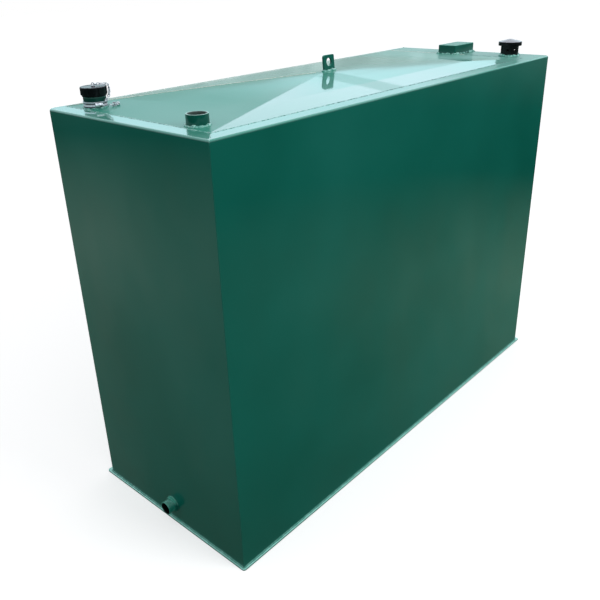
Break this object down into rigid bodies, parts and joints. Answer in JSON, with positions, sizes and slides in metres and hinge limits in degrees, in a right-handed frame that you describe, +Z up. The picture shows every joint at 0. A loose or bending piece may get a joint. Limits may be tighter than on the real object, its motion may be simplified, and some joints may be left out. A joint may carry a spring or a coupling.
{
  "type": "slimline bunded oil tank",
  "caption": "Slim welded steel oil storage tank with an inner tank inside an outer catch tank, screwed fill cap on a chain, vent, lifting lug and low outlet",
  "frame": {"origin": "Middle of the walls' footprint, on the underside of the base plate.", "axes": "+X runs along the tank to the vent end, away from the outlet; +Y to the back; +Z up."},
  "size_m": [1.739, 0.676, 1.291],
  "materials": {
    "green_paint": "gloss",
    "bare_steel": "satin",
    "bright_zinc": "bright",
    "black_plastic": "satin",
    "seal_rubber": "matt",
    "gauze_wire": "satin"
  },
  "bodies": {
    "tank": {"bund_shell_front_right": "green_paint", "bund_shell_left_back": "green_paint", "base_plate": "green_paint", "top_panel": "green_paint", "lifting_lug": "green_paint", "hood": "green_paint", "fill_riser": "green_paint", "spare_socket": "green_paint", "outlet_collar": "green_paint", "outlet_pipe": "green_paint", "vent_riser": "green_paint", "inner_tank_floor": "bare_steel", "inner_tank_wrapper": "bare_steel", "inner_tank_top": "bare_steel", "baffle_left": "bare_steel", "baffle_right": "bare_steel", "bearer_left": "bare_steel", "bearer_middle": "bare_steel", "bearer_right": "bare_steel", "spare_drop_pipe": "bare_steel", "clip_band": "bright_zinc", "clip_housing": "bright_zinc", "clip_screw": "bright_zinc", "chain_slack_run": "bright_zinc", "vent_body": "black_plastic", "vent_cap": "black_plastic", "vent_gauze": "gauze_wire"},
    "swivel": {"cap_swivel": "bright_zinc", "chain_upper_run": "bright_zinc"},
    "cap": {"fill_cap": "black_plastic", "fill_cap_seal": "seal_rubber"}
  },
  "joints": [
    {"name": "cap_rise", "type": "slide", "parent": "tank", "child": "swivel", "axis": [0, 0, 1], "range_m": [0, 0.0139]},
    {"name": "cap_turn", "type": "hinge", "parent": "swivel", "child": "cap", "pos_m": [-0.764, 0.222, 1.25], "axis": [0, 0, 1], "range_deg": [0, 2160]}
  ],
  "couplings": [
    {"joint": "cap_rise", "follows": "cap_turn", "m_per_rad": 0.00036749}
  ]
}
